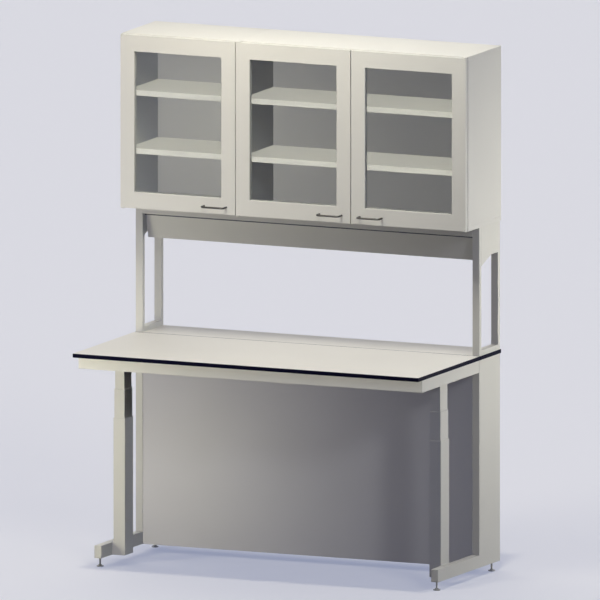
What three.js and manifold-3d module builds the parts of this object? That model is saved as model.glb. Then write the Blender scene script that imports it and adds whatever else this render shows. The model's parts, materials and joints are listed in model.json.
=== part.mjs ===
// Height-adjustable lab bench with a service spine, reagent frame and glazed wall cabinet.
// Millimetres, +Z up, front towards -Y. The origin is on the floor, at the footprint's centre.
import * as THREE from "three";
import { mergeVertices } from "three/addons/utils/BufferGeometryUtils.js";
import Module from "manifold-3d";

const wasm = await Module();
wasm.setup();

// Driving dimensions: the whole bench
const benchWidth = 1500;
const benchDepth = 800;
const benchHeight = 2100;
const worktopHeight = 884;
const boardThickness = 16;
const ledgeDepth = 200;
const boardJoint = 2;
const sideInset = 5; // the steelwork stands this far in from the boards' ends

// Steel tube and sheet
const tubeWidth = 30;
const tubeHeight = 50;
const wall = 2;
const sheet = 2;

// Foot rails and levelling feet
const footRailLength = 600;
const footRailRise = 36;
const footInsetFront = 22;
const footInsetRear = 48;
const footDiscRadius = 14;
const footDiscHeight = 5;
const footHexTop = 9;
const footHexRadius = 7.5;
const studRadius = 4;
const studHoleRadius = 4.6;
const studTop = 72;

// Lifting columns: three nested tubes, widest at the foot
const columnCentreX = 685;
const columnCentreY = -54;
const columnStages = [
  { width: 50, depth: 80, bottom: 36, top: 582 },
  { width: 45, depth: 75, bottom: 158, top: 698 },
  { width: 40, depth: 70, bottom: 278, top: 818 },
];
const columnFootPlate = 8;
const nutTubeRadius = 13;
const nutTubeTop = 575;
const nutBoreRadius = 7.6;
const screwRadius = 7;
const screwBottom = 255;
const screwTop = 845;
const motorBoreRadius = 9;
const motorHousingWidth = 60;
const motorHousingDepth = 84;
const motorRadius = 21;
const motorLength = 110;

// Worktop frame
const frameSetback = 47;
const frameRearGap = 2;
const accessHoleRadius = 6;
const accessHoleXs = [-600, -200, 200, 600];
const controlBox = { width: 280, depth: 90, height: 40, centreY: 70 };

// Service spine
const panelGap = 0.5;
const panelFold = 18;
const bearerHeight = 40;
const lowerBeam = { bottom: 40, top: 80, depth: 40 };

// Reagent frame and sloping duct, with the duct's side view as depth from the front and height
const uprightDepth = 20;
const sideRailHeight = 20;
const topRailHeight = 40;
const endPlateThickness = 3;
const fitGap = 0.3;
const endPlateFrontBottom = 1241;
const endPlateKnee = { depth: 714, height: 1275 };
const ductLip = { depth: 653, height: 1258 };
const ductTop = 1396;
const ductFloorRise = 2;

// Wall cabinet
const cabinetBottom = 1400;
const cabinetDepth = 340;
const panelThickness = 18;
const backThickness = 8;
const backInset = 6;
const cabinetUnits = { single: [-750, -250], double: [-250, 750] };
const shelfThickness = 22;
const shelfSetback = 12;
const shelfTops = { upper: 1872, lower: 1639 };

// Doors
const doorNames = ["left", "middle", "right"];
const doorHingeSides = [-1, -1, 1];
const doorGap = 3;
const doorThickness = 18;
const stileWidth = 60;
const doorRailHeight = 65;
const glassThickness = 3;
const glassFront = 13.2;
const glassRebate = 8;
const glassPlay = 0.5;
const pivotFromEdge = 8;
const pivotFromFront = 6;
const pivotPinRadius = 2.5;
const pivotPinLength = 14;
const pivotHoleRadius = 2.8;
const hingeLeafThickness = 2.8;
const hingeLeafWidth = 12;
const hingeLeafInCabinet = 30;
const handleSpacing = 96;
const handleReach = 35;
const handleBend = 13;
const handleBarRadius = 4;
const handleFromEdge = 86;
const handleFromBottom = 30;

// Places worked out from the dimensions above
const front = -benchDepth / 2;
const rear = benchDepth / 2;
const halfWidth = benchWidth / 2;
const steelOuter = halfWidth - sideInset;
const steelInner = steelOuter - tubeWidth;
const tubeMiddle = (steelInner + steelOuter) / 2;
const ledgeFront = rear - ledgeDepth;
const boardUnderside = worktopHeight - boardThickness;
const footRailTop = footRailRise + tubeHeight;
const footRailFront = rear - footRailLength;
const frameUnderside = boardUnderside - tubeHeight;
const frameFront = front + frameSetback;
const frameRear = ledgeFront - frameRearGap;
const uprightInnerFront = ledgeFront + uprightDepth;
const uprightInnerRear = rear - uprightDepth;
const cabinetFront = rear - cabinetDepth;
const carcassFront = cabinetFront + doorThickness + doorGap;
const carcassInnerBottom = cabinetBottom + panelThickness;
const carcassInnerTop = benchHeight - panelThickness;
const backFront = rear - backInset - backThickness;
const doorPitch = benchWidth / doorNames.length;
const doorWidth = doorPitch - doorGap;
const doorBottom = cabinetBottom + doorGap;
const doorHeight = benchHeight - cabinetBottom - 2 * doorGap;

// Finishes
function finish(color, roughness, metalness = 0) {
  return new THREE.MeshStandardMaterial({ color, roughness, metalness });
}

const creamPaint = finish("#dedbcb", 0.5);
const creamBoard = finish("#e6e2d2", 0.55);
const creamPanel = finish("#dcd9c8", 0.55);
const clearGlass = finish("#c9d3d1", 0.05);
clearGlass.transparent = true;
clearGlass.opacity = 0.25;
const darkMetal = finish("#4b4a46", 0.35, 1);
const zincSteel = finish("#a9abac", 0.4, 1);
const darkPlastic = finish("#2e3033", 0.6);

// Solids: a box between limits, a round bar along Z, and joins and cuts of closed geometries
function block([x0, x1], [y0, y1], [z0, z1]) {
  const box = new THREE.BoxGeometry(x1 - x0, y1 - y0, z1 - z0);
  return box.translate((x0 + x1) / 2, (y0 + y1) / 2, (z0 + z1) / 2);
}

function bar(radius, z0, z1, sides = 24) {
  const cylinder = new THREE.CylinderGeometry(radius, radius, z1 - z0, sides);
  return cylinder.rotateX(Math.PI / 2).translate(0, 0, (z0 + z1) / 2);
}

function solidFrom(geometry) {
  const bare = geometry.clone();
  bare.deleteAttribute("normal");
  bare.deleteAttribute("uv");
  const merged = mergeVertices(bare, 1e-4);
  const vertProperties = merged.getAttribute("position").array;
  const triVerts = new Uint32Array(merged.index.array);
  return new wasm.Manifold(new wasm.Mesh({ numProp: 3, vertProperties, triVerts }));
}

function geometryFrom(solid) {
  const { vertProperties, triVerts } = solid.getMesh();
  const geometry = new THREE.BufferGeometry();
  geometry.setAttribute("position", new THREE.BufferAttribute(vertProperties, 3));
  geometry.setIndex(new THREE.BufferAttribute(triVerts, 1));
  geometry.computeVertexNormals();
  return geometry;
}

function join(...geometries) {
  return geometryFrom(geometries.map(solidFrom).reduce((sum, next) => sum.add(next)));
}

function cut(geometry, ...tools) {
  return geometryFrom(tools.map(solidFrom).reduce((rest, tool) => rest.subtract(tool), solidFrom(geometry)));
}

// A closed outline, as [depth, height] points, drawn out along X
function alongX(points, [x0, x1]) {
  const outline = new THREE.Shape(points.map(([y, z]) => new THREE.Vector2(y, z)));
  const prism = new THREE.ExtrudeGeometry(outline, { depth: x1 - x0, bevelEnabled: false });
  const standing = new THREE.Matrix4().makeBasis(
    new THREE.Vector3(0, 1, 0),
    new THREE.Vector3(0, 0, 1),
    new THREE.Vector3(1, 0, 0),
  );
  return prism.applyMatrix4(standing).translate(x0, 0, 0);
}

// The outline of a folded sheet: the fold line out, and back again one thickness to its left
function foldedSheet(fold, thickness) {
  const points = fold.map(([y, z]) => new THREE.Vector2(y, z));
  const leftOf = (a, b) => new THREE.Vector2(a.y - b.y, b.x - a.x).normalize();
  const inner = points.map((point, i) => {
    const before = points[i - 1] ?? point;
    const after = points[i + 1] ?? point;
    const arriving = i > 0 ? leftOf(before, point) : leftOf(point, after);
    const leaving = i < points.length - 1 ? leftOf(point, after) : arriving;
    const mitre = arriving.clone().add(leaving).normalize();
    return point.clone().addScaledVector(mitre, thickness / mitre.dot(arriving));
  });
  return [...points, ...inner.reverse()].map(({ x, y }) => [x, y]);
}

const sideName = (side) => (side < 0 ? "left" : "right");
const onSide = (side, inner, outer) => (side < 0 ? [-outer, -inner] : [inner, outer]);
const grown = ([low, high], by) => [low - by, high + by];

const bench = new THREE.Group();

function add(name, geometry, material, parent = bench) {
  const mesh = new THREE.Mesh(geometry, material);
  mesh.name = name;
  parent.add(mesh);
  return mesh;
}

// Foot rails: square-ended tube, drilled underneath for the studs of the levelling feet
const footYs = { front: footRailFront + footInsetFront, rear: rear - footInsetRear };

function footRail(side) {
  const x = onSide(side, steelInner, steelOuter);
  const z = [footRailRise, footRailTop];
  const studHoles = Object.values(footYs).map((y) =>
    bar(studHoleRadius, footRailRise - wall, footRailRise + 2 * wall).translate(side * tubeMiddle, y, 0),
  );
  const outside = block(x, [footRailFront, rear], z);
  const inside = block(grown(x, -wall), [footRailFront - wall, rear + wall], grown(z, -wall));
  return cut(outside, inside, ...studHoles);
}

function levellingFoot() {
  const disc = bar(footDiscRadius, 0, footDiscHeight);
  const hex = bar(footHexRadius, footDiscHeight - 1, footHexTop, 6);
  return join(disc, hex, bar(studRadius, footHexTop - 1, studTop, 16));
}

for (const side of [-1, 1]) {
  add("foot_rail_" + sideName(side), footRail(side), creamPaint);
  for (const [end, y] of Object.entries(footYs)) {
    const foot = add(`levelling_foot_${end}_${sideName(side)}`, levellingFoot(), zincSteel);
    foot.position.set(side * tubeMiddle, y, 0);
  }
}

// Service spine: folded end panels, tray-shaped panels front and rear, a bearer and a low cross beam
const spineHeight = [footRailTop, boardUnderside];
const trayFront = ledgeFront + panelGap;
const trayX = [-steelInner + panelGap, steelInner - panelGap];
const bearerY = [trayFront + panelFold, rear - panelFold];

function spineEndPanel(side) {
  const outside = block(onSide(side, steelInner, steelOuter), [ledgeFront, rear], spineHeight);
  const hollowX = onSide(side, steelInner - sheet, steelOuter - sheet);
  return cut(outside, block(hollowX, [ledgeFront + sheet, rear - sheet], grown(spineHeight, sheet)));
}

function tray(y, z, openSide) {
  const hollowY = openSide > 0 ? [y[0] + sheet, y[1] + sheet] : [y[0] - sheet, y[1] - sheet];
  return cut(block(trayX, y, z), block(grown(trayX, -sheet), hollowY, grown(z, -sheet)));
}

function spineBearer() {
  const x = [-steelOuter + sheet, steelOuter - sheet];
  const z = [boardUnderside - bearerHeight, boardUnderside];
  const hollowZ = [z[0] - sheet, z[1] - sheet];
  return cut(block(x, bearerY, z), block(grown(x, sheet), grown(bearerY, -sheet), hollowZ));
}

function spineLowerBeam() {
  const x = [-steelInner, steelInner];
  const y = [bearerY[0], bearerY[0] + lowerBeam.depth];
  const z = [lowerBeam.bottom, lowerBeam.top];
  return cut(block(x, y, z), block(grown(x, wall), grown(y, -wall), grown(z, -wall)));
}

for (const side of [-1, 1]) {
  add("spine_end_panel_" + sideName(side), spineEndPanel(side), creamPaint);
}
const kneePanelY = [trayFront, trayFront + panelFold];
const rearPanelY = [rear - panelFold, rear];
const kneePanelZ = [footRailRise, boardUnderside - panelGap];
const rearPanelZ = [footRailTop, boardUnderside - panelGap];
add("knee_panel", tray(kneePanelY, kneePanelZ, 1), creamPaint);
add("spine_rear_panel", tray(rearPanelY, rearPanelZ, -1), creamPaint);
add("spine_top_bearer", spineBearer(), creamPaint);
add("spine_lower_beam", spineLowerBeam(), creamPaint);

// Boards: the lifting worktop, and the fixed ledge behind it
const boardX = [-halfWidth, halfWidth];
const boardZ = [boardUnderside, worktopHeight];
add("rear_ledge", block(boardX, [ledgeFront, rear], boardZ), creamBoard);
add("worktop", block(boardX, [front, ledgeFront - boardJoint], boardZ), creamBoard);

// Worktop frame: a welded ring of tube, with screw holes underneath
function worktopFrame() {
  const x = [-steelOuter, steelOuter];
  const y = [frameFront, frameRear];
  const z = [frameUnderside, boardUnderside];
  const ringOf = (inset) => {
    const outside = block(grown(x, -inset), grown(y, -inset), grown(z, -inset));
    const hole = block(grown(x, inset - tubeWidth), grown(y, inset - tubeWidth), grown(z, wall));
    return cut(outside, hole);
  };
  const railYs = [frameFront + tubeWidth / 2, frameRear - tubeWidth / 2];
  const holes = railYs.flatMap((railY) =>
    accessHoleXs.map((holeX) =>
      bar(accessHoleRadius, frameUnderside - wall, frameUnderside + 2 * wall, 16).translate(holeX, railY, 0),
    ),
  );
  return cut(ringOf(0), ringOf(wall), ...holes);
}

function controlBoxCase() {
  const halfBox = controlBox.width / 2;
  const y = [controlBox.centreY - controlBox.depth / 2, controlBox.centreY + controlBox.depth / 2];
  return block([-halfBox, halfBox], y, [boardUnderside - controlBox.height, boardUnderside]);
}

add("worktop_frame", worktopFrame(), creamPaint);
add("control_box", controlBoxCase(), darkPlastic);

// Lifting columns, each about its own upright axis
function columnTube({ width, depth, bottom, top }) {
  const x = [-width / 2, width / 2];
  const y = [-depth / 2, depth / 2];
  const z = [bottom, top];
  return cut(block(x, y, z), block(grown(x, -wall), grown(y, -wall), grown(z, wall)));
}

// The outer tube is welded to a foot plate with a nut tube, and to the foot rail beside it
function outerColumn(side) {
  const stage = columnStages[0];
  const x = [-stage.width / 2, stage.width / 2];
  const y = [-stage.depth / 2, stage.depth / 2];
  const plateTop = stage.bottom + columnFootPlate;
  const footPlate = block(x, y, [stage.bottom, plateTop]);
  const railPlateX = onSide(side, stage.width / 2, steelInner - columnCentreX);
  const railPlate = block(railPlateX, y, [footRailRise, footRailTop]);
  const nutTube = bar(nutTubeRadius, plateTop - 1, nutTubeTop);
  const nutBore = bar(nutBoreRadius, plateTop + wall, nutTubeTop + wall);
  return cut(join(columnTube(stage), footPlate, railPlate, nutTube), nutBore);
}

// Gear housing over the inner tube, with the motor lying towards the middle of the bench
function liftMotor(side) {
  const housingX = onSide(side, steelInner - columnCentreX - motorHousingWidth, steelInner - columnCentreX);
  const housingY = [-motorHousingDepth / 2, motorHousingDepth / 2];
  const housing = block(housingX, housingY, [frameUnderside, boardUnderside]);
  const motor = bar(motorRadius, 0, motorLength).rotateY(-side * Math.PI / 2);
  const inward = side * (steelInner - columnCentreX - motorHousingWidth + 1);
  motor.translate(inward, 0, (frameUnderside + boardUnderside) / 2);
  return cut(join(housing, motor), bar(motorBoreRadius, frameUnderside - wall, screwTop + wall));
}

for (const side of [-1, 1]) {
  const column = new THREE.Group();
  column.position.set(side * columnCentreX, columnCentreY, 0);
  bench.add(column);
  add("column_outer_" + sideName(side), outerColumn(side), creamPaint, column);
  add("column_middle_" + sideName(side), columnTube(columnStages[1]), creamPaint, column);
  add("column_inner_" + sideName(side), columnTube(columnStages[2]), creamPaint, column);
  add("lift_motor_" + sideName(side), liftMotor(side), darkPlastic, column);
  add("lead_screw_" + sideName(side), bar(screwRadius, screwBottom, screwTop), zincSteel, column);
}

// Heights and depths of the duct are taken from the bench's front edge
const fromFront = ({ depth, height }) => [front + depth, height];

// The end plate hides the duct's end: welded to the rear upright, with a hairline gap at the front one
function ductEndPlate(side) {
  const y = [uprightInnerFront + fitGap, uprightInnerRear + wall / 2];
  const outline = [
    [y[0], cabinetBottom],
    [y[0], endPlateFrontBottom],
    fromFront(endPlateKnee),
    [y[1], endPlateKnee.height],
    [y[1], cabinetBottom],
  ];
  return alongX(outline, onSide(side, steelOuter - endPlateThickness, steelOuter));
}

// Reagent frame: welded side frames of tube, open at the top, and rails across
function reagentSideFrame(side) {
  const x = onSide(side, steelInner, steelOuter);
  const uprightZ = [worktopHeight, cabinetBottom];
  const hollowZ = [worktopHeight + wall, cabinetBottom + wall];
  const railZ = [worktopHeight, worktopHeight + sideRailHeight];
  const frontY = [ledgeFront, uprightInnerFront];
  const rearY = [uprightInnerRear, rear];
  const betweenY = [uprightInnerFront - wall, uprightInnerRear + wall];
  const uprights = join(block(x, frontY, uprightZ), block(x, rearY, uprightZ));
  const hollowX = grown(x, -wall);
  return cut(
    join(uprights, block(x, betweenY, railZ), ductEndPlate(side)),
    block(hollowX, grown(frontY, -wall), hollowZ),
    block(hollowX, grown(rearY, -wall), hollowZ),
    block(hollowX, grown(betweenY, wall), grown(railZ, -wall)),
  );
}

function topRail(y) {
  const x = [-steelInner, steelInner];
  const z = [cabinetBottom - topRailHeight, cabinetBottom];
  return cut(block(x, y, z), block(grown(x, wall), grown(y, -wall), grown(z, -wall)));
}

function slopingDuct() {
  const [kneeY, kneeZ] = fromFront(endPlateKnee);
  const floorZ = kneeZ + ductFloorRise;
  const fold = [
    [uprightInnerFront + fitGap, ductTop],
    fromFront(ductLip),
    [kneeY, floorZ],
    [uprightInnerRear - fitGap, floorZ],
    [uprightInnerRear - fitGap, ductTop],
  ];
  return alongX(foldedSheet(fold, sheet), [-steelInner, steelInner]);
}

for (const side of [-1, 1]) {
  add("reagent_frame_" + sideName(side), reagentSideFrame(side), creamPaint);
}
add("front_top_rail", topRail([ledgeFront, uprightInnerFront]), creamPaint);
add("rear_top_rail", topRail([uprightInnerRear, rear]), creamPaint);
add("sloping_duct", slopingDuct(), creamPaint);

// Wall cabinet: two units side by side, each of five boards and two shelves
const doorCentres = doorNames.map((_, i) => -halfWidth + (i + 0.5) * doorPitch);
const hingeXs = doorCentres.map((x, i) => x + doorHingeSides[i] * (doorWidth / 2 - pivotFromEdge));
const pivotY = cabinetFront + pivotFromFront;
const carcassY = [carcassFront, rear];
const carcassZ = [carcassInnerBottom, carcassInnerTop];
const topZ = [carcassInnerTop, benchHeight];
const bottomZ = [cabinetBottom, carcassInnerBottom];
const topLeafZ = [benchHeight - hingeLeafThickness, benchHeight + 1];
const bottomLeafZ = [cabinetBottom - 1, cabinetBottom + hingeLeafThickness];
const backY = [backFront, backFront + backThickness];

// A top or bottom board, with mortises for the hinge leaves that lie within its width
function cabinetBoard(x, z, leafZ) {
  const leafY = [carcassFront - 1, carcassFront + hingeLeafInCabinet + fitGap];
  const half = hingeLeafWidth / 2 + fitGap;
  const hinges = hingeXs.filter((hingeX) => hingeX > x[0] && hingeX < x[1]);
  const mortises = hinges.map((hingeX) => block([hingeX - half, hingeX + half], leafY, leafZ));
  return cut(block(x, carcassY, z), ...mortises);
}

for (const [unit, x] of Object.entries(cabinetUnits)) {
  const insideX = grown(x, -panelThickness);
  add(`cabinet_${unit}_top`, cabinetBoard(x, topZ, topLeafZ), creamPanel);
  add(`cabinet_${unit}_bottom`, cabinetBoard(x, bottomZ, bottomLeafZ), creamPanel);
  add(`cabinet_${unit}_side_left`, block([x[0], insideX[0]], carcassY, carcassZ), creamPanel);
  add(`cabinet_${unit}_side_right`, block([insideX[1], x[1]], carcassY, carcassZ), creamPanel);
  add(`cabinet_${unit}_back`, block(insideX, backY, carcassZ), creamPanel);
  for (const [level, top] of Object.entries(shelfTops)) {
    const shelf = block(insideX, [carcassFront + shelfSetback, backFront], [top - shelfThickness, top]);
    add(`shelf_${unit}_${level}`, shelf, creamPanel);
  }
}

// Doors: each in its own group, from the middle of the door's front lower edge
function doorFrame(hingeSide) {
  const x = [-doorWidth / 2, doorWidth / 2];
  const y = [0, doorThickness];
  const z = [0, doorHeight];
  const paneX = grown(x, -stileWidth);
  const paneZ = grown(z, -doorRailHeight);
  const throughHole = block(paneX, grown(y, 1), paneZ);
  const rebateY = [glassFront - fitGap, doorThickness + 1];
  const rebate = block(grown(paneX, glassRebate), rebateY, grown(paneZ, glassRebate));
  const pivotX = hingeSide * (doorWidth / 2 - pivotFromEdge);
  const pivotDepth = pivotPinLength + 1;
  const lowHole = bar(pivotHoleRadius, -1, pivotDepth, 16).translate(pivotX, pivotFromFront, 0);
  const highHole = bar(pivotHoleRadius, doorHeight - pivotDepth, doorHeight + 1, 16);
  return cut(block(x, y, z), throughHole, rebate, lowHole, highHole.translate(pivotX, pivotFromFront, 0));
}

function doorGlass() {
  const overlap = glassRebate - glassPlay;
  const halfPane = doorWidth / 2 - stileWidth + overlap;
  const z = grown([doorRailHeight, doorHeight - doorRailHeight], overlap);
  return block([-halfPane, halfPane], [glassFront, glassFront + glassThickness], z);
}

// Bow handle: a round bar with two bends, standing off the door's face
function bowHandle() {
  const half = handleSpacing / 2;
  const at = (x, y) => new THREE.Vector3(x, -y, 0);
  const path = new THREE.CurvePath();
  const corner = (side) => at(side * half, handleReach);
  const bend = (side, from, to) => new THREE.QuadraticBezierCurve3(from, corner(side), to);
  const legEnd = (side) => at(side * half, handleReach - handleBend);
  const barEnd = (side) => at(side * (half - handleBend), handleReach);
  path.add(new THREE.LineCurve3(at(-half, 0), legEnd(-1)));
  path.add(bend(-1, legEnd(-1), barEnd(-1)));
  path.add(new THREE.LineCurve3(barEnd(-1), barEnd(1)));
  path.add(bend(1, barEnd(1), legEnd(1)));
  path.add(new THREE.LineCurve3(legEnd(1), at(half, 0)));
  const section = new THREE.Shape().absarc(0, 0, handleBarRadius, 0, 2 * Math.PI);
  return new THREE.ExtrudeGeometry(section, { steps: 26, curveSegments: 5, extrudePath: path });
}

// Pivot hinge: a leaf sunk in the cabinet board, with a pin into the door's edge
function pivotHinge(pinEnd) {
  const half = hingeLeafWidth / 2;
  const back = carcassFront + hingeLeafInCabinet - pivotY;
  const outline = new THREE.Shape();
  outline.moveTo(half, 0);
  outline.lineTo(half, back);
  outline.lineTo(-half, back);
  outline.lineTo(-half, 0);
  outline.absarc(0, 0, half, Math.PI, 2 * Math.PI);
  const flat = { depth: hingeLeafThickness, bevelEnabled: false };
  const leaf = new THREE.ExtrudeGeometry(outline, flat);
  const pinZ = pinEnd > 0 ? [1, hingeLeafThickness + pivotPinLength] : [-pivotPinLength, 1];
  return join(leaf, bar(pivotPinRadius, ...pinZ, 16));
}

doorNames.forEach((name, i) => {
  const hingeSide = doorHingeSides[i];
  const door = new THREE.Group();
  door.position.set(doorCentres[i], cabinetFront, doorBottom);
  bench.add(door);
  add("door_frame_" + name, doorFrame(hingeSide), creamPanel, door);
  add("door_glass_" + name, doorGlass(), clearGlass, door);
  const handle = add("door_handle_" + name, bowHandle(), darkMetal, door);
  handle.position.set(-hingeSide * (doorWidth / 2 - handleFromEdge), 0, handleFromBottom);
  const lowHinge = add(`door_hinge_${name}_bottom`, pivotHinge(1), zincSteel);
  lowHinge.position.set(hingeXs[i], pivotY, cabinetBottom);
  const highHinge = add(`door_hinge_${name}_top`, pivotHinge(-1), zincSteel);
  highHinge.position.set(hingeXs[i], pivotY, benchHeight - hingeLeafThickness);
});

export default bench;
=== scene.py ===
# Lab bench with reagent shelf: finishes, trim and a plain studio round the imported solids. Metres, +Z up.
import bmesh
import bpy
import json
import math
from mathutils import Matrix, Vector


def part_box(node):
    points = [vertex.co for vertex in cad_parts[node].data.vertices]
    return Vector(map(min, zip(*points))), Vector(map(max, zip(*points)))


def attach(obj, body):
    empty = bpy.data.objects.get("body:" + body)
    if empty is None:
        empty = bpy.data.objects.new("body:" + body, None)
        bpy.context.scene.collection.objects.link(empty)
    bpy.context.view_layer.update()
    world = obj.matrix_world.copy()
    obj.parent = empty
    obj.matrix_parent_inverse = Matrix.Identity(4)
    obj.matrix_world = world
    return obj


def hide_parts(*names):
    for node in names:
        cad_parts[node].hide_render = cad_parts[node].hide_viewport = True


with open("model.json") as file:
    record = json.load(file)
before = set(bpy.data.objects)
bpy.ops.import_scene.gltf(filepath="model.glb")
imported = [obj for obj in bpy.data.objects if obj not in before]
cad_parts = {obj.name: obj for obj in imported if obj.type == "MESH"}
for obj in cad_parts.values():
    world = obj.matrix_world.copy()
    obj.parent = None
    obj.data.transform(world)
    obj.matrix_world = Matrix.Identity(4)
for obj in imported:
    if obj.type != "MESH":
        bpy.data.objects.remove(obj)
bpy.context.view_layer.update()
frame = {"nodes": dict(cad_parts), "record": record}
sides = ("left", "right")
ends = ("front", "rear")
doors = ("left", "middle", "right")
units = ("single", "double")
levels = ("upper", "lower")
mm = 0.001
weldGap = 0.01 * mm
print("frame loaded:", len(frame["nodes"]), "nodes")

# Camera: a parallel view, as in the photograph
cameraSetup = {"azimuth": 24.17, "elevation": 9.12, "aim": (0.0, 0.127, 1.071), "height": 2.374,
               "distance": 8.0, "clipEnd": 100.0}


def addCamera(setup):
    a, e = math.radians(setup["azimuth"]), math.radians(setup["elevation"])
    back = Vector((math.sin(a) * math.cos(e), -math.cos(a) * math.cos(e), math.sin(e)))
    data = bpy.data.cameras.new("bench_camera")
    data.type = "ORTHO"
    data.ortho_scale = setup["height"]
    data.clip_end = setup["clipEnd"]
    camera = bpy.data.objects.new("bench_camera", data)
    camera.location = Vector(setup["aim"]) + back * setup["distance"]
    camera.rotation_euler = (-back).to_track_quat("-Z", "Y").to_euler()
    bpy.context.scene.collection.objects.link(camera)
    bpy.context.scene.camera = camera


addCamera(cameraSetup)
print("camera placed")

# Materials: colours are sRGB hex, pattern sizes are real millimetres
noiseSpan = (0.3, 0.7)  # nearly all of a noise lies between these
mixColour = {"first": 6, "second": 7, "result": 2}  # the Mix node's sockets for colours


def toLinear(hexCode):
    channels = [int(hexCode[i:i + 2], 16) / 255 for i in (1, 3, 5)]
    linear = [c / 12.92 if c <= 0.04045 else ((c + 0.055) / 1.055) ** 2.4 for c in channels]
    return (*linear, 1.0)


def perMetre(sizeMm):
    return 1000 / sizeMm  # texture scale that gives features of this size


def addNode(tree, kind, settings=None, links=None):
    node = tree.nodes.new(kind)
    for key, value in (settings or {}).items():
        if isinstance(key, int) or key in node.inputs:
            node.inputs[key].default_value = value
        else:
            setattr(node, key, value)
    for key, source in (links or {}).items():
        tree.links.new(source, node.inputs[key])
    return node


def newMaterial(name, settings):
    material = bpy.data.materials.new(name)
    material.use_nodes = True
    tree = material.node_tree
    tree.nodes.clear()
    shader = addNode(tree, "ShaderNodeBsdfPrincipled", settings)
    output = addNode(tree, "ShaderNodeOutputMaterial", links={"Surface": shader.outputs["BSDF"]})
    return material, tree, shader, output


def noiseAt(tree, sizeMm, detail=2.0, stretch=None):
    place = addNode(tree, "ShaderNodeTexCoord").outputs["Object"]
    if stretch:
        mapping = addNode(tree, "ShaderNodeMapping", {"Scale": stretch}, {"Vector": place})
        place = mapping.outputs["Vector"]
    settings = {"Scale": perMetre(sizeMm), "Detail": detail}
    return addNode(tree, "ShaderNodeTexNoise", settings, {"Vector": place}).outputs["Fac"]


def between(tree, factor, low, high):
    settings = {"From Min": noiseSpan[0], "From Max": noiseSpan[1], "To Min": low, "To Max": high}
    return addNode(tree, "ShaderNodeMapRange", settings, {"Value": factor}).outputs["Result"]


def twoTone(tree, factor, first, second):
    ramp = addNode(tree, "ShaderNodeValToRGB", links={"Fac": factor})
    for element, position, colour in zip(ramp.color_ramp.elements, noiseSpan, (first, second)):
        element.position = position
        element.color = toLinear(colour)
    return ramp.outputs["Color"]


def addSheen(tree, shader, noise, s):  # uneven gloss, and a slight relief of the same pattern
    tree.links.new(between(tree, noise, s["satin"], s["dull"]), shader.inputs["Roughness"])
    settings = {"Strength": s["relief"], "Distance": s["reliefMm"] * mm}
    bump = addNode(tree, "ShaderNodeBump", settings, {"Height": noise})
    tree.links.new(bump.outputs["Normal"], shader.inputs["Normal"])


def addTone(tree, shader, noise, s):
    tree.links.new(twoTone(tree, noise, s["pale"], s["deep"]), shader.inputs["Base Color"])


powderCoat = {"IOR": 1.5, "pale": "#e3dfcd", "deep": "#dedac8", "cloudMm": 420, "peelMm": 5,
              "reliefMm": 0.06, "relief": 0.25, "satin": 0.42, "dull": 0.52}


def polyesterPowderCoat(s):  # baked-on powder: an even satin with a faint orange peel that softens highlights
    material, tree, shader, _ = newMaterial("cream_polyester_powder_coat_on_steel", {"IOR": s["IOR"]})
    addTone(tree, shader, noiseAt(tree, s["cloudMm"]), s)
    peel = noiseAt(tree, s["peelMm"])  # real peel is 1 to 2 mm, drawn coarser so that it shows
    addSheen(tree, shader, peel, s)
    return material


melamine = {"IOR": 1.55, "pale": "#e4e0cf", "deep": "#dfdbca", "cloudMm": 500, "pearlMm": 6,
            "reliefMm": 0.05, "relief": 0.2, "satin": 0.46, "dull": 0.56}


def melamineFacedBoard(s):  # pressed paper film: flat cream with a fine pearl emboss
    material, tree, shader, _ = newMaterial("cream_melamine_faced_chipboard", {"IOR": s["IOR"]})
    addTone(tree, shader, noiseAt(tree, s["cloudMm"]), s)
    pearl = noiseAt(tree, s["pearlMm"], detail=1.0)  # real emboss is under 1 mm, drawn coarser
    addSheen(tree, shader, pearl, s)
    return material


laminate = {"IOR": 1.55, "face": "#e6e1d0", "faceDeep": "#e1dccb", "core": "#06061a", "coreStreak": "#0b0b20",
            "cloudMm": 600, "grainMm": 5, "reliefMm": 0.04, "relief": 0.2, "streakMm": 40,
            "streakStretch": (1, 1, 60), "satin": 0.4, "dull": 0.5, "faceTilt": 0.95,
            "faceGloss": 0.5, "edgeGloss": 0.03}


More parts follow.
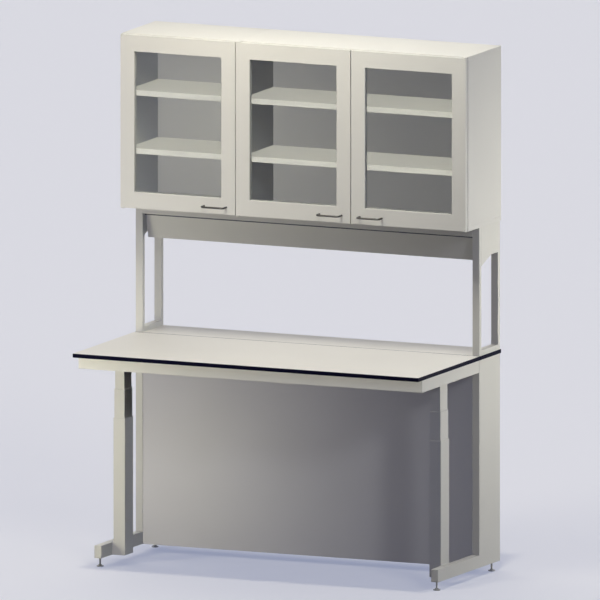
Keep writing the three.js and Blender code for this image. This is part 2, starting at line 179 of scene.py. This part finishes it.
def compactLaminate(s):  # pressed solid laminate: cream faces, and a near-black paper core at the sawn edges
    material, tree, shader, _ = newMaterial("compact_laminate_cream_faces_black_core", {"IOR": s["IOR"]})
    cloud = noiseAt(tree, s["cloudMm"])
    grain = noiseAt(tree, s["grainMm"], detail=1.0)  # drawn coarser than its real 0.5 mm
    streak = noiseAt(tree, s["streakMm"], stretch=s["streakStretch"])  # layers of paper along the edge
    normal = addNode(tree, "ShaderNodeNewGeometry").outputs["True Normal"]
    upright = addNode(tree, "ShaderNodeSeparateXYZ", links={"Vector": normal}).outputs["Z"]
    tilt = addNode(tree, "ShaderNodeMath", {"operation": "ABSOLUTE"}, {0: upright}).outputs["Value"]
    limit = {"operation": "GREATER_THAN", 1: s["faceTilt"]}
    isFace = addNode(tree, "ShaderNodeMath", limit, {0: tilt}).outputs["Value"]
    mix = addNode(tree, "ShaderNodeMix", {"data_type": "RGBA"}, {"Factor": isFace})
    coreTone = twoTone(tree, streak, s["core"], s["coreStreak"])
    faceTone = twoTone(tree, cloud, s["face"], s["faceDeep"])
    tree.links.new(coreTone, mix.inputs[mixColour["first"]])
    tree.links.new(faceTone, mix.inputs[mixColour["second"]])
    tree.links.new(mix.outputs[mixColour["result"]], shader.inputs["Base Color"])
    settings = {"To Min": s["edgeGloss"], "To Max": s["faceGloss"]}
    gloss = addNode(tree, "ShaderNodeMapRange", settings, {"Value": isFace})
    tree.links.new(gloss.outputs["Result"], shader.inputs["Specular IOR Level"])
    addSheen(tree, shader, grain, s)
    return material


glass = {"tint": "#f4f6f4", "IOR": 1.52, "roughness": 0.02}


def floatGlass(s):  # polished float glass: clear, with a faint green; lamps reach through it
    settings = {"Base Color": toLinear(s["tint"]), "IOR": s["IOR"], "Roughness": s["roughness"],
                "Transmission Weight": 1.0}
    material, tree, shader, output = newMaterial("clear_float_glass", settings)
    path = addNode(tree, "ShaderNodeLightPath")
    clear = addNode(tree, "ShaderNodeBsdfTransparent", {"Color": toLinear(s["tint"])})
    links = {"Fac": path.outputs["Is Shadow Ray"], 1: shader.outputs["BSDF"], 2: clear.outputs["BSDF"]}
    letThrough = addNode(tree, "ShaderNodeMixShader", links=links)
    tree.links.new(letThrough.outputs["Shader"], output.inputs["Surface"])
    return material


handleSteel = {"pale": "#6a6862", "deep": "#54524d", "brushMm": 2, "brushStretch": (0.06, 1, 1),
               "reliefMm": 0.02, "relief": 0.2, "satin": 0.26, "dull": 0.4}


def brushedDarkSteel(s):  # brushed, dark-nickelled steel: streaks along the bar and a broken highlight
    material, tree, shader, _ = newMaterial("dark_brushed_nickelled_steel", {"Metallic": 1.0})
    brush = noiseAt(tree, s["brushMm"], stretch=s["brushStretch"])  # brush lines run along X
    addTone(tree, shader, brush, s)
    addSheen(tree, shader, brush, s)
    return material


zinc = {"pale": "#989ba0", "deep": "#a09d92", "bloomMm": 14, "polish": 0.3, "dull": 0.46}


def zincPlatedSteel(s):  # bright zinc plate: pale grey with a faint bluish and yellowish bloom
    material, tree, shader, _ = newMaterial("bright_zinc_plated_steel", {"Metallic": 1.0})
    bloom = noiseAt(tree, s["bloomMm"], detail=4.0)
    addTone(tree, shader, bloom, s)
    tree.links.new(between(tree, bloom, s["polish"], s["dull"]), shader.inputs["Roughness"])
    return material


moulded = {"IOR": 1.5, "metallic": 0.0, "relief": 0.3}
creamPlastic = {**moulded, "pale": "#dfdbc9", "deep": "#d9d5c3", "grainMm": 2, "reliefMm": 0.04,
                "satin": 0.4, "dull": 0.5}
blackPlastic = {**moulded, "pale": "#232428", "deep": "#1c1d20", "grainMm": 3, "reliefMm": 0.1,
                "satin": 0.5, "dull": 0.65}
sealRubber = {**moulded, "pale": "#8b8b84", "deep": "#7f7f79", "grainMm": 4, "reliefMm": 0.03,
              "satin": 0.55, "dull": 0.7}
# tone of the duct seal, darker than the grey seal to paint the shade line under the front top rail
shadeLineRubber = {**sealRubber, "pale": "#56565a", "deep": "#4c4c50"}
clearRubber = {**moulded, "pale": "#d6d8d6", "deep": "#cdd0ce", "grainMm": 3, "reliefMm": 0.02,
               "satin": 0.25, "dull": 0.35}
castAluminium = {**moulded, "metallic": 0.6, "pale": "#4c4d51", "deep": "#404145", "grainMm": 4,
                 "reliefMm": 0.12, "satin": 0.45, "dull": 0.6}


def grainedSkin(name, s):  # moulded, extruded or cast: an even colour with a fine grain from the tool
    material, tree, shader, _ = newMaterial(name, {"IOR": s["IOR"], "Metallic": s["metallic"]})
    grain = noiseAt(tree, s["grainMm"], detail=1.0)
    addTone(tree, shader, grain, s)
    addSheen(tree, shader, grain, s)
    return material


coat = polyesterPowderCoat(powderCoat)
board = melamineFacedBoard(melamine)
topBoard = compactLaminate(laminate)
pane = floatGlass(glass)
handleMetal = brushedDarkSteel(handleSteel)
zincSteel = zincPlatedSteel(zinc)
capPlastic = grainedSkin("cream_moulded_abs", creamPlastic)
boxPlastic = grainedSkin("black_moulded_abs", blackPlastic)
sealer = grainedSkin("grey_extruded_epdm_rubber", sealRubber)
# the duct seal's dark rubber is painted shade: it stands in for the shadow under the front top rail
shadeLineSealer = grainedSkin("dark_epdm_rubber_painted_shade_line", shadeLineRubber)
bumperRubber = grainedSkin("clear_moulded_silicone", clearRubber)
casing = grainedSkin("dark_coated_die_cast_aluminium", castAluminium)  # uneven, half metal to the eye
print("materials made:", len(bpy.data.materials))

# Finishes of the solids: material by record slot, with a rounded edge of the maker's usual size in mm
slotFinish = {
    "cream_powder_coat": (coat, 0.9),
    "worktop_laminate": (topBoard, 1.2),
    "cream_faced_board": (board, 1.0),
    "clear_glass": (pane, 0.4),
    "dark_handle_steel": (handleMetal, 0.0),
    "hinge_leaf_paint": (coat, 0.3),
    "zinc_plated_steel": (zincSteel, 0.0),
    "motor_casing": (casing, 1.5),
    "control_box_plastic": (boxPlastic, 2.0),
}
edgeFinish = {"flatDegrees": 1, "sharpDegrees": 40, "smoothDegrees": 35, "segments": 2, "roundProfile": 0.5}


def roundEdges(piece, width):
    edge = piece.modifiers.new("edge", "BEVEL")
    edge.width = width
    edge.segments = edgeFinish["segments"]
    return edge


def finishNode(solid, material, edgeMm):
    solid.data.materials.clear()
    solid.data.materials.append(material)
    if not edgeMm:
        return
    weld = solid.modifiers.new("weld", "WELD")
    weld.merge_threshold = weldGap
    flat = solid.modifiers.new("flat", "DECIMATE")
    flat.decimate_type = "DISSOLVE"
    flat.angle_limit = math.radians(edgeFinish["flatDegrees"])
    edge = roundEdges(solid, edgeMm * mm)
    edge.limit_method = "ANGLE"
    edge.angle_limit = math.radians(edgeFinish["sharpDegrees"])


for row in frame["record"]["subparts"]:
    finishNode(frame["nodes"][row["node"]], *slotFinish[row["material_slot"]])
print("solids finished")


# Mesh helpers
def newPiece(name, mesh, material, body):
    mesh.normal_update()
    data = bpy.data.meshes.new(name)
    mesh.to_mesh(data)
    mesh.free()
    data.materials.append(material)
    piece = bpy.data.objects.new(name, data)
    bpy.context.scene.collection.objects.link(piece)
    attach(piece, body)
    return piece


def turnOutward(mesh):
    bmesh.ops.recalc_face_normals(mesh, faces=mesh.faces)


def skinRings(mesh, rings, closeEnds=True):
    rows = [[mesh.verts.new(p) for p in ring] for ring in rings]
    for low, high in zip(rows, rows[1:]):
        for i in range(len(low)):
            j = (i + 1) % len(low)
            mesh.faces.new((low[i], low[j], high[j], high[i]))
    if closeEnds:
        mesh.faces.new(list(reversed(rows[0])))
        mesh.faces.new(rows[-1])


def skinLoop(mesh, rings):  # a hollow frame: the last ring joins the first
    skinRings(mesh, rings + rings[:1], closeEnds=False)
    bmesh.ops.remove_doubles(mesh, verts=mesh.verts, dist=weldGap)
    turnOutward(mesh)


def circle(count, radius):
    turns = [2 * math.pi * i / count for i in range(count)]
    return [(radius * math.cos(turn), radius * math.sin(turn)) for turn in turns]


def hexagon(count, flat):
    points = []
    for i in range(count):
        turn = 2 * math.pi * i / count
        inFace = (turn % (math.pi / 3)) - math.pi / 6
        reach = flat / math.cos(inFace)
        points.append((reach * math.cos(turn), reach * math.sin(turn)))
    return points


def roundedBlock(mesh, low, high, radius):
    made = bmesh.ops.create_cube(mesh, size=1.0)
    size, middle = high - low, (low + high) / 2
    for vert in made["verts"]:
        vert.co = middle + Vector(vert.co[i] * size[i] for i in range(3))
    edges = list({edge for vert in made["verts"] for edge in vert.link_edges})
    bmesh.ops.bevel(mesh, geom=edges, offset=radius, segments=edgeFinish["segments"], affect="EDGES",
                    profile=edgeFinish["roundProfile"])


def smoothRound(piece):
    for polygon in piece.data.polygons:
        polygon.use_smooth = True
    piece.data.set_sharp_from_angle(angle=math.radians(edgeFinish["smoothDegrees"]))


# Bow handles: a bent round bar in place of the faceted one
handle = {"bend": 13 * mm, "sides": 24, "bendSteps": 10, "footChamfer": 0.6 * mm}


def bowHandle(door, s):
    node = "door_handle_" + door
    low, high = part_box(node)
    radius = (high.z - low.z) / 2
    middle = (low + high) / 2
    half = (high.x - low.x) / 2 - radius
    barY = low.y + radius
    path = [(-half, high.y), (-half, high.y - s["footChamfer"])]
    for side in (-1, 1):
        for step in range(s["bendSteps"] + 1):
            turn = math.pi / 2 * step / s["bendSteps"]
            turn = turn if side < 0 else math.pi / 2 - turn
            x = side * (half - s["bend"] * (1 - math.cos(turn)))
            path.append((x, barY + s["bend"] * (1 - math.sin(turn))))
    path += [(half, high.y - s["footChamfer"]), (half, high.y)]
    rings = []
    for i, (x, y) in enumerate(path):
        before, after = path[max(i - 1, 0)], path[min(i + 1, len(path) - 1)]
        along = Vector((after[0] - before[0], after[1] - before[1], 0)).normalized()
        across = Vector((along.y, -along.x, 0))
        size = radius - (s["footChamfer"] if i in (0, len(path) - 1) else 0)
        centre = Vector((middle.x + x, y, middle.z))
        rings.append([centre + across * a + Vector((0, 0, b)) for a, b in circle(s["sides"], size)])
    mesh = bmesh.new()
    skinRings(mesh, rings)
    turnOutward(mesh)
    piece = newPiece("bow_handle_" + door, mesh, handleMetal, "door_" + door)
    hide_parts(node)
    smoothRound(piece)


for door in doors:
    bowHandle(door, handle)
print("handles bent")

# Levelling feet: disc, hexagon and threaded stud in place of the plain ones
foot = {"count": 48, "discRadius": 14 * mm, "discTop": 5 * mm, "lip": 1.2 * mm, "hexFlat": 6.5 * mm,
        "hexLow": 5.4 * mm, "hexHigh": 9 * mm, "hexChamfer": 0.8 * mm, "studRadius": 4 * mm,
        "threadDepth": 0.55 * mm, "pitch": 1.25 * mm, "threadTop": 56 * mm, "rowsPerPitch": 4}


def threadRow(s, z):
    points = []
    for i in range(s["count"]):
        phase = (z / s["pitch"] - i / s["count"]) % 1.0
        radius = s["studRadius"] - s["threadDepth"] * abs(2 * phase - 1)
        turn = 2 * math.pi * i / s["count"]
        points.append((radius * math.cos(turn), radius * math.sin(turn)))
    return points


def levellingFoot(name, s):
    low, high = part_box(name)
    centre = Vector(((low.x + high.x) / 2, (low.y + high.y) / 2, 0))
    count = s["count"]
    rows = [(0, circle(count, s["discRadius"] - s["lip"])),
            (s["lip"], circle(count, s["discRadius"])),
            (s["discTop"] - s["lip"], circle(count, s["discRadius"])),
            (s["discTop"], circle(count, s["discRadius"] - s["lip"])),
            (s["hexLow"], hexagon(count, s["hexFlat"])),
            (s["hexHigh"] - s["hexChamfer"], hexagon(count, s["hexFlat"])),
            (s["hexHigh"], circle(count, s["hexFlat"] - s["hexChamfer"]))]
    rise = s["pitch"] / s["rowsPerPitch"]
    steps = int((s["threadTop"] - s["hexHigh"]) / rise)
    rows += [(s["hexHigh"] + rise * (i + 1), threadRow(s, rise * i)) for i in range(steps)]
    plain = s["studRadius"] - s["threadDepth"]
    rows += [(s["threadTop"] + rise, circle(count, plain)), (high.z, circle(count, plain))]
    mesh = bmesh.new()
    skinRings(mesh, [[centre + Vector((x, y, z)) for x, y in points] for z, points in rows])
    pieceName = "screw_foot_" + name.removeprefix("levelling_foot_")
    piece = newPiece(pieceName, mesh, zincSteel, name)
    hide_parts(name)
    smoothRound(piece)


for end in ends:
    for side in sides:
        levellingFoot(f"levelling_foot_{end}_{side}", foot)
print("feet turned")

# Insert caps in the open ends of the foot rails
endCap = {"wall": 2.0 * mm, "play": 0.25 * mm, "depth": 14 * mm, "recess": 0.4 * mm, "edge": 1.2 * mm}


def railCaps(side, s):
    low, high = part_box("foot_rail_" + side)
    inset = s["wall"] + s["play"]
    spans = ((low.y + s["recess"], low.y + s["depth"]), (high.y - s["depth"], high.y - s["recess"]))
    for end, (y0, y1) in zip(ends, spans):
        capLow = Vector((low.x + inset, y0, low.z + inset))
        capHigh = Vector((high.x - inset, y1, high.z - inset))
        mesh = bmesh.new()
        roundedBlock(mesh, capLow, capHigh, s["edge"])
        newPiece(f"rail_cap_{end}_{side}", mesh, capPlastic, "base")


for side in sides:
    railCaps(side, endCap)

# Glide collars on the upper ends of the outer and middle column tubes
collar = {"height": 3.0 * mm, "play": 0.35 * mm, "lift": 0.1 * mm, "edge": 0.6 * mm, "outerStep": 2.5 * mm}


def halfSection(node):
    low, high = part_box(node)
    return (high.x - low.x) / 2, (high.y - low.y) / 2


def collarSections(s):  # the outer node has welded plates too, so its tube is measured from the middle one
    halves = {tube: halfSection(f"column_{tube}_right") for tube in ("middle", "inner")}
    halves["outer"] = tuple(half + s["outerStep"] for half in halves["middle"])
    return halves


def glideCollar(side, tube, within, body, halves, s):
    _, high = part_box(f"column_{tube}_{side}")
    slideLow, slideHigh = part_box(f"column_{within}_{side}")
    middle = (slideLow + slideHigh) / 2
    wide, deep = halves[tube]
    holeWide, holeDeep = (half + s["play"] for half in halves[within])
    low = high.z + s["lift"]
    top = low + s["height"]
    section = ((holeWide, holeDeep, low), (wide, deep, low), (wide, deep, top - s["edge"]),
               (wide - s["edge"], deep - s["edge"], top), (holeWide, holeDeep, top))
    corners = ((-1, -1), (1, -1), (1, 1), (-1, 1))
    mesh = bmesh.new()
    skinLoop(mesh, [[Vector((middle.x + i * a, middle.y + j * b, z)) for i, j in corners]
                    for a, b, z in section])
    newPiece(f"glide_collar_{tube}_{side}", mesh, capPlastic, body)


tubeHalves = collarSections(collar)
for side in sides:
    glideCollar(side, "outer", "middle", "base", tubeHalves, collar)
    glideCollar(side, "middle", "inner", "column_middle", tubeHalves, collar)
print("caps and collars fitted")

# Shelf pins under the shelves
shelfPin = {"radius": 2.5 * mm, "collar": 4.0 * mm, "collarLength": 1.5 * mm, "collarChamfer": 0.3 * mm,
            "length": 9 * mm, "tipChamfer": 0.5 * mm, "inset": 40 * mm, "sides": 20}


def pinRings(base, direction, s):
    profile = ((0, s["collar"] - s["collarChamfer"]),
               (s["collarChamfer"], s["collar"]),
               (s["collarLength"], s["collar"]),
               (s["collarLength"], s["radius"]),
               (s["length"] - s["tipChamfer"], s["radius"]),
               (s["length"], s["radius"] - s["tipChamfer"]))
    return [[base + Vector((direction * along, a, b)) for a, b in circle(s["sides"], radius)]
            for along, radius in profile]


def shelfPins(unit, s):
    mesh = bmesh.new()
    for level in levels:
        low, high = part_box(f"shelf_{unit}_{level}")
        for x, direction in ((low.x, 1), (high.x, -1)):
            for y in (low.y + s["inset"], high.y - s["inset"]):
                skinRings(mesh, pinRings(Vector((x, y, low.z - s["collar"])), direction, s))
    turnOutward(mesh)
    smoothRound(newPiece("shelf_pins_" + unit, mesh, zincSteel, "base"))


for unit in units:
    shelfPins(unit, shelfPin)

# Door furniture: seal in front of the glass, bead behind it, and bumpers on the free edge
glazing = {"lap": 7.5 * mm, "sealWidth": 1.6 * mm, "sealDepth": 1.4 * mm, "sealEdge": 0.4 * mm,
           "beadWidth": 9 * mm, "beadGap": 0.2 * mm, "beadEdge": 0.5 * mm}
bumper = {"radius": 4 * mm, "height": 2.4 * mm, "inset": 22 * mm, "sides": 24,
          "dome": ((0, 1.0), (0.45, 1.0), (0.8, 0.82), (1.0, 0.5))}  # shares of the height and radius


def shrunk(rectangle, inset):
    x0, x1, z0, z1 = rectangle
    return x0 + inset, x1 - inset, z0 + inset, z1 - inset


def rectangleRing(name, outer, inner, y0, y1, edge, material, body):
    corners = ((0, 0), (1, 0), (1, 1), (0, 1))
    loops = []
    for (x0, x1, z0, z1), y in ((inner, y0), (outer, y0), (outer, y1), (inner, y1)):
        loops.append([Vector(((x0, x1)[i], y, (z0, z1)[j])) for i, j in corners])
    mesh = bmesh.new()
    skinLoop(mesh, loops)
    roundEdges(newPiece(name, mesh, material, body), edge)


def glazeDoor(door, s):
    low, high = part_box("door_glass_" + door)
    _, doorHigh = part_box("door_frame_" + door)
    body = "door_" + door
    whole = (low.x, high.x, low.z, high.z)
    sight = shrunk(whole, s["lap"])
    rectangleRing("glass_seal_" + door, sight, shrunk(sight, s["sealWidth"]), low.y - s["sealDepth"],
                  low.y - s["beadGap"] / 2, s["sealEdge"], sealer, body)
    rectangleRing("glazing_bead_" + door, whole, shrunk(whole, s["beadWidth"]), high.y + s["beadGap"],
                  doorHigh.y - s["beadGap"], s["beadEdge"], capPlastic, body)


def doorBumpers(door, s):
    low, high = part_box("door_frame_" + door)
    handleLow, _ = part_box("door_handle_" + door)
    free = high.x - s["inset"] if handleLow.x > (low.x + high.x) / 2 else low.x + s["inset"]
    mesh = bmesh.new()
    for z in (low.z + s["inset"], high.z - s["inset"]):
        base = Vector((free, high.y, z))
        rings = []
        for rise, share in s["dome"]:
            points = circle(s["sides"], s["radius"] * share)
            rings.append([base + Vector((a, s["height"] * rise, b)) for a, b in points])
        skinRings(mesh, rings)
    turnOutward(mesh)
    smoothRound(newPiece("door_bumpers_" + door, mesh, bumperRubber, "door_" + door))


for door in doors:
    glazeDoor(door, glazing)
    doorBumpers(door, bumper)
print("cabinet fitted out")

# Rubber seal in the wedge between the front top rail and the duct behind it, dark so that it paints the shade
# line under the rail (painted shade). Its section is in mm behind the rail's rear face and above its lower
# edge.
ductSealShadeLine = {"section": ((0.1, 5.0), (0.1, -6.5), (1.6, -8.0), (8.0, -8.0), (9.8, -6.5), (7.2, 5.0)),
            "endPlay": 0.5 * mm, "edge": 0.4 * mm}


def sealDuctWithShadeLine(s):
    low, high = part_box("front_top_rail")
    mesh = bmesh.new()
    skinRings(mesh, [[Vector((x, high.y + behind * mm, low.z + above * mm)) for behind, above in s["section"]]
                     for x in (low.x + s["endPlay"], high.x - s["endPlay"])])
    turnOutward(mesh)
    roundEdges(newPiece("duct_seal_painted_shade_line", mesh, shadeLineSealer, "base"), s["edge"])


sealDuctWithShadeLine(ductSealShadeLine)
print("duct sealed")

# Screws that hold the rear panel: low heads with a hexagon socket
panelScrew = {"radius": 4 * mm, "proud": 0.5 * mm, "socket": 1.6 * mm, "socketDepth": 1.2 * mm,
              "socketFloor": 0.3 * mm, "shankShare": 0.6, "crownShare": 0.85, "inset": 9 * mm,
              "columns": 5, "sides": 24}


def panelScrews(s):
    low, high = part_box("spine_rear_panel")
    count = s["sides"]
    profile = [(-s["socketDepth"] - s["socketFloor"], circle(count, s["radius"] * s["shankShare"])),
               (0, circle(count, s["radius"])),
               (s["proud"], circle(count, s["radius"] * s["crownShare"])),
               (s["proud"], hexagon(count, s["socket"])),
               (-s["socketDepth"], hexagon(count, s["socket"]))]
    span = high.x - low.x - 2 * s["inset"]
    mesh = bmesh.new()
    for z in (low.z + s["inset"], high.z - s["inset"]):
        for column in range(s["columns"]):
            base = Vector((low.x + s["inset"] + span * column / (s["columns"] - 1), high.y, z))
            skinRings(mesh, [[base + Vector((a, along, b)) for a, b in points] for along, points in profile])
    turnOutward(mesh)
    smoothRound(newPiece("rear_panel_screws", mesh, zincSteel, "base"))


panelScrews(panelScrew)
print("rear panel screwed on")

# Studio: a pale seamless floor that keeps the shadows, and lamps set to match the photograph. A lamp lights
# the bench without the floor. One with "spares" leaves out those pieces too. One with "lights" lights those
# pieces alone, and where it names none, the floor alone. Strength is in W/m2 for a SUN and in W for an AREA
# lamp, and softness is in degrees for a SUN and in metres for an AREA lamp.
studio = {"paper": "#c1baa5", "paperRoughness": 0.9, "paperGlow": "#8e95ae", "bounce": "#5c5c62",
          "floorHalf": 40.0, "sky": "#d6d7de", "skyLight": "#7f8ce6", "skyStrength": 0.09, "bounces": 0}
usualAim = {"AREA": (0, 0, 1), "SUN": (0, 0, 0)}
shelves = tuple(f"shelf_{unit}_{level}" for unit in units for level in levels)
rightLeg = ("foot_rail_right", "column_outer_right", "column_middle_right", "column_inner_right")
lamps = {
    "top_fill": {"kind": "SUN", "from": (0, 0, 1), "strength": 0.65, "softness": 8, "shadow": False,
                 "colour": "#f5f5ff"},
    "shelf_fill": {"kind": "SUN", "from": (0, 0, 1), "strength": 1.3, "softness": 8, "shadow": False,
                   "lights": shelves},
    "shelf_edge_fill": {"kind": "SUN", "from": (0, -1, 0), "strength": 1.95, "softness": 1, "shadow": False,
                        "lights": shelves},
    "back_fill": {"kind": "AREA", "from": (-0.5, -0.2, 1.75), "strength": 0.75, "softness": 0.05,
                  "aim": (-0.5, 0.4, 1.75), "shadow": False,
                  "lights": ("cabinet_single_back", "cabinet_double_back")},
    "right_fill": {"kind": "SUN", "from": (1, 0, 0), "strength": 0.45, "softness": 8, "shadow": False,
                   "colour": "#dbe2ff",
                   "spares": ("door_frame_left", "door_frame_middle", "cabinet_double_side_left",
                              "column_inner_left", "column_middle_left")},
    "right_sun": {"kind": "SUN", "from": (0.69, -0.58, 0.43), "strength": 0.32, "softness": 8,
                  "colour": "#e2e7ff"},
    "key_lamp": {"kind": "AREA", "from": (0.3, -1.2, 4.0), "strength": 60, "softness": 0.9,
                 "spares": shelves},
    "upper_left_lamp": {"kind": "AREA", "from": (-0.4, -0.6, 2.6), "strength": 3.6, "softness": 0.8,
                        "colour": "#fff6df"},
    "left_fill": {"kind": "AREA", "from": (-1.4, -1.2, 0.57), "strength": 15.5, "softness": 0.8,
                  "shadow": False, "colour": "#fffde6", "spares": ("knee_panel", *rightLeg)},
    "right_leg_fill": {"kind": "SUN", "from": (-0.93, -0.35, 0.1), "strength": 0.52, "softness": 8,
                       "shadow": False, "colour": "#fffde6", "lights": rightLeg},
    "knee_fill": {"kind": "AREA", "from": (-0.9, -0.8, 0.35), "strength": 5.5, "softness": 0.05,
                  "aim": (-0.5, 0.2, 0.5), "shadow": False, "colour": "#fffdf6", "lights": ("knee_panel",)},
    "front_fill": {"kind": "AREA", "from": (-2.7, -2.0, 1.05), "strength": 17.5, "softness": 0.8,
                   "shadow": False, "colour": "#7a86ff"},
    "right_lamp": {"kind": "AREA", "from": (2.3, 0.9, 1.2), "strength": 18.5, "softness": 0.6,
                   "aim": (0.7, 0.3, 1.3)},
    "rear_sun": {"kind": "SUN", "from": (-0.6, 0.8, 0), "strength": 2.2, "softness": 12},
    "frame_lamp": {"kind": "AREA", "from": (0.9, -1.7, 0.8), "strength": 5, "softness": 0.8, "shadow": False,
                   "lights": ("worktop_frame",)},
    "floor_key": {"kind": "SUN", "from": (0.05, -0.17, 0.98), "strength": 0.97, "softness": 4,
                  "lights": ()},
    "floor_left": {"kind": "SUN", "from": (-0.49, -0.71, 0.51), "strength": 0.75, "softness": 20,
                   "lights": ()},
    "floor_right": {"kind": "SUN", "from": (0.69, -0.58, 0.43), "strength": 0.65, "softness": 20,
                    "lights": ()},
    "floor_back": {"kind": "SUN", "from": (-0.35, 0.45, 0.82), "strength": 0.7, "softness": 50,
                   "lights": ()},
}


def seenRay(tree):  # 1 where the camera, a mirror or the glass looks, 0 for light that falls on the bench
    path = addNode(tree, "ShaderNodeLightPath")
    mirrored = addNode(tree, "ShaderNodeMath", {"operation": "MAXIMUM"},
                       {0: path.outputs["Is Glossy Ray"], 1: path.outputs["Is Transmission Ray"]})
    seen = addNode(tree, "ShaderNodeMath", {"operation": "MAXIMUM"},
                   {0: path.outputs["Is Camera Ray"], 1: mirrored.outputs["Value"]})
    return seen.outputs["Value"]


def studioPaper(s):  # matt seamless paper: pale and faintly blue where seen, but throws little light back
    settings = {"Base Color": toLinear(s["paper"]), "Roughness": s["paperRoughness"],
                "Emission Color": toLinear(s["paperGlow"]), "Emission Strength": 1.0}
    material, tree, shader, output = newMaterial("matt_studio_paper", settings)
    dim = addNode(tree, "ShaderNodeBsdfDiffuse", {"Color": toLinear(s["bounce"])})
    links = {"Fac": seenRay(tree), 1: dim.outputs["BSDF"], 2: shader.outputs["BSDF"]}
    mix = addNode(tree, "ShaderNodeMixShader", links=links)
    tree.links.new(mix.outputs["Shader"], output.inputs["Surface"])
    return material


def addFloor(s):
    mesh = bmesh.new()
    bmesh.ops.create_grid(mesh, x_segments=1, y_segments=1, size=s["floorHalf"])
    data = bpy.data.meshes.new("floor")
    mesh.to_mesh(data)
    mesh.free()
    data.materials.append(studioPaper(s))
    floor = bpy.data.objects.new("floor", data)
    bpy.context.scene.collection.objects.link(floor)
    return floor


def addSky(s):
    world = bpy.data.worlds.new("studio_sky")
    bpy.context.scene.world = world
    world.use_nodes = True
    tree = world.node_tree
    tree.nodes.clear()
    settings = {"Color": toLinear(s["skyLight"]), "Strength": s["skyStrength"]}
    light = addNode(tree, "ShaderNodeBackground", settings)
    shown = addNode(tree, "ShaderNodeBackground", {"Color": toLinear(s["sky"])})
    links = {"Fac": seenRay(tree), 1: light.outputs["Background"], 2: shown.outputs["Background"]}
    mix = addNode(tree, "ShaderNodeMixShader", links=links)
    addNode(tree, "ShaderNodeOutputWorld", links={"Surface": mix.outputs["Shader"]})


def linkLamp(lamp, s, floor):
    receivers = bpy.data.collections.new(lamp.name + "_receivers")
    named = [frame["nodes"][node] for node in s.get("lights", s.get("spares", ()))]
    onlyThese = "lights" in s
    for piece in named if named and onlyThese else named + [floor]:
        receivers.objects.link(piece)
    for row in receivers.collection_objects:
        row.light_linking.link_state = "INCLUDE" if onlyThese else "EXCLUDE"
    lamp.light_linking.receiver_collection = receivers


def addLamp(name, s, floor):
    data = bpy.data.lights.new(name, s["kind"])
    data.energy = s["strength"]
    data.color = toLinear(s.get("colour", "#ffffff"))[:3]
    data.use_shadow = s.get("shadow", True)
    if s["kind"] == "SUN":
        data.angle = math.radians(s["softness"])
    else:
        data.size = s["softness"]
    lamp = bpy.data.objects.new(name, data)
    lamp.visible_camera = False
    lamp.visible_glossy = data.use_shadow  # the fills leave no mirror image on the paint or in the glass
    lamp.visible_transmission = False
    aim = Vector(s.get("aim", usualAim[s["kind"]]))
    lamp.location = s["from"]
    lamp.rotation_euler = (aim - Vector(s["from"])).to_track_quat("-Z", "Y").to_euler()
    bpy.context.scene.collection.objects.link(lamp)
    linkLamp(lamp, s, floor)


paperFloor = addFloor(studio)
addSky(studio)
for name, settings in lamps.items():
    addLamp(name, settings, paperFloor)
bpy.context.scene.cycles.diffuse_bounces = studio["bounces"]
bpy.context.scene.cycles.use_light_tree = False  # or the weak lamps are hardly ever picked behind the glass
bpy.context.scene.view_settings.view_transform = "Standard"
print("studio lit")
